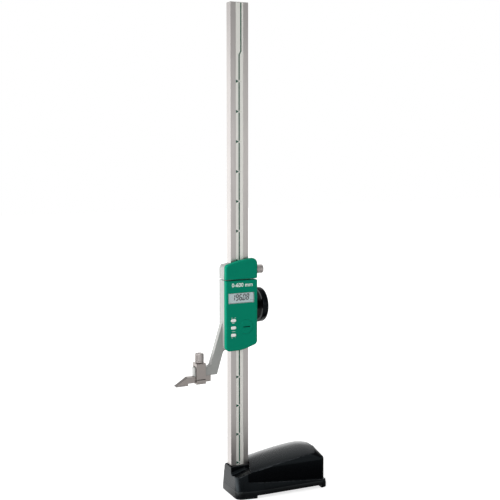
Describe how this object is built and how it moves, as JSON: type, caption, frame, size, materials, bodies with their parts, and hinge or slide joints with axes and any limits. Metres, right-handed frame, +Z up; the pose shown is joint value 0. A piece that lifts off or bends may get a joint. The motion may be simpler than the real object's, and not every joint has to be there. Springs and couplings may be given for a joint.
{
  "type": "digital height gauge",
  "caption": "Digital height gauge: ground column on a humped base, slider with display, arm and scriber, rack handwheel, clamp block and fine adjustment.",
  "frame": {"origin": "on the lapped underside of the front foot, directly below the axis of the column", "axes": "+X runs back along the base, away from the scriber; +Y runs away from the display; +Z is up along the column"},
  "size_m": [0.2639, 0.0998, 0.832],
  "materials": {
    "base_iron": "black satin paint",
    "base_black": "black satin shell",
    "ground_steel": "ground steel",
    "tape": "printed scale tape",
    "screw_steel": "bright screws",
    "cream": "cream grey paint",
    "brass": "turned brass",
    "green": "green moulded shell",
    "board": "circuit board",
    "dark": "black moulding",
    "display": "grey display glass",
    "window": "clear window",
    "key": "ivory keys",
    "wheel_black": "black moulded wheel",
    "carbide": "hard tip",
    "rubber": "contact rubber"
  },
  "bodies": {
    "base": {"base_casting": "base_iron", "base_cover": "base_black", "base_cover_screws": "screw_steel", "column": "ground_steel", "column_screws": "screw_steel", "scale_tape": "tape", "drive_rack": "ground_steel"},
    "slider": {"slider_body": "cream", "slider_gib": "brass", "gib_screws": "screw_steel", "front_cover": "green", "front_cover_screws": "screw_steel", "circuit_board": "board", "reading_head": "dark", "display_glass": "display", "display_window": "window", "contact_strips": "rubber", "key_switches": "dark", "battery_cell": "screw_steel", "battery_spring": "brass", "drive_housing": "cream", "drive_housing_screws": "screw_steel", "bush_left": "brass", "bush_right": "brass", "fine_screw": "ground_steel"},
    "handwheel": {"pinion": "brass", "pinion_shaft": "ground_steel", "handwheel": "wheel_black", "wheel_cap": "screw_steel", "wheel_grub_screw": "screw_steel"},
    "clamp_block": {"clamp_block": "cream", "clamp_cover": "green", "clamp_cover_screws": "screw_steel", "nut_bracket": "cream", "nut_bracket_screws": "screw_steel"},
    "fine_nut": {"fine_nut": "brass"},
    "clamp_shoe": {"clamp_shoe": "brass"},
    "clamp_screw": {"clamp_screw": "ground_steel"},
    "key_top": {"key_top": "key"},
    "key_middle": {"key_middle": "key"},
    "key_bottom": {"key_bottom": "key"},
    "battery_cap": {"battery_cap": "green"},
    "scriber": {"scriber": "ground_steel", "carbide_tip": "carbide"},
    "clamp_stirrup": {"clamp_stirrup": "ground_steel"},
    "thumb_screw": {"thumb_screw": "ground_steel"}
  },
  "joints": [
    {"name": "slider_travel", "type": "slide", "parent": "base", "child": "slider", "axis": [0, 0, 1], "range_m": [-0.196, 0.404]},
    {"name": "handwheel_turn", "type": "hinge", "parent": "slider", "child": "handwheel", "pos_m": [0.045, 0.016, 0.32], "axis": [1, 0, 0], "range_deg": [-1250, 2574]},
    {"name": "fine_adjust", "type": "slide", "parent": "slider", "child": "clamp_block", "axis": [0, 0, 1], "range_m": [-0.0012, 0.004]},
    {"name": "fine_nut_turn", "type": "hinge", "parent": "clamp_block", "child": "fine_nut", "pos_m": [0, 0.0215, 0.3846], "axis": [0, 0, 1], "range_deg": [-865, 2881]},
    {"name": "clamp_shoe_press", "type": "slide", "parent": "clamp_block", "child": "clamp_shoe", "axis": [-1, 0, 0], "range_m": [0, 0.00045]},
    {"name": "clamp_screw_turn", "type": "hinge", "parent": "clamp_shoe", "child": "clamp_screw", "pos_m": [0.038, 0, 0.3846], "axis": [-1, 0, 0], "range_deg": [-0.5, 162.5]},
    {"name": "key_top_press", "type": "slide", "parent": "slider", "child": "key_top", "axis": [0, 1, 0], "range_m": [0, 0.0008], "stiffness_N_per_m": 1500, "springref_m": -0.0003},
    {"name": "key_middle_press", "type": "slide", "parent": "slider", "child": "key_middle", "axis": [0, 1, 0], "range_m": [0, 0.0008], "stiffness_N_per_m": 1500, "springref_m": -0.0003},
    {"name": "key_bottom_press", "type": "slide", "parent": "slider", "child": "key_bottom", "axis": [0, 1, 0], "range_m": [0, 0.0008], "stiffness_N_per_m": 1500, "springref_m": -0.0003},
    {"name": "battery_cap_turn", "type": "hinge", "parent": "slider", "child": "battery_cap", "pos_m": [0.0071, -0.02, 0.2903], "axis": [0, -1, 0], "range_deg": [0, 60]},
    {"name": "scriber_slide", "type": "slide", "parent": "slider", "child": "scriber", "axis": [-1, 0, 0], "range_m": [-0.012, 0.012]},
    {"name": "stirrup_lift", "type": "slide", "parent": "slider", "child": "clamp_stirrup", "axis": [0, 0, 1], "range_m": [-0.0012, 0]},
    {"name": "thumb_screw_turn", "type": "hinge", "parent": "slider", "child": "thumb_screw", "pos_m": [-0.0709, 0, 0.2402], "axis": [0, 0, 1], "range_deg": [-1, 541]}
  ],
  "couplings": [
    {"joint": "handwheel_turn", "follows": "slider_travel", "rad_per_m": 111.11},
    {"joint": "fine_nut_turn", "follows": "fine_adjust", "rad_per_m": 12566},
    {"joint": "clamp_screw_turn", "follows": "clamp_shoe_press", "rad_per_m": 6283.2},
    {"joint": "thumb_screw_turn", "follows": "stirrup_lift", "rad_per_m": -7854}
  ]
}
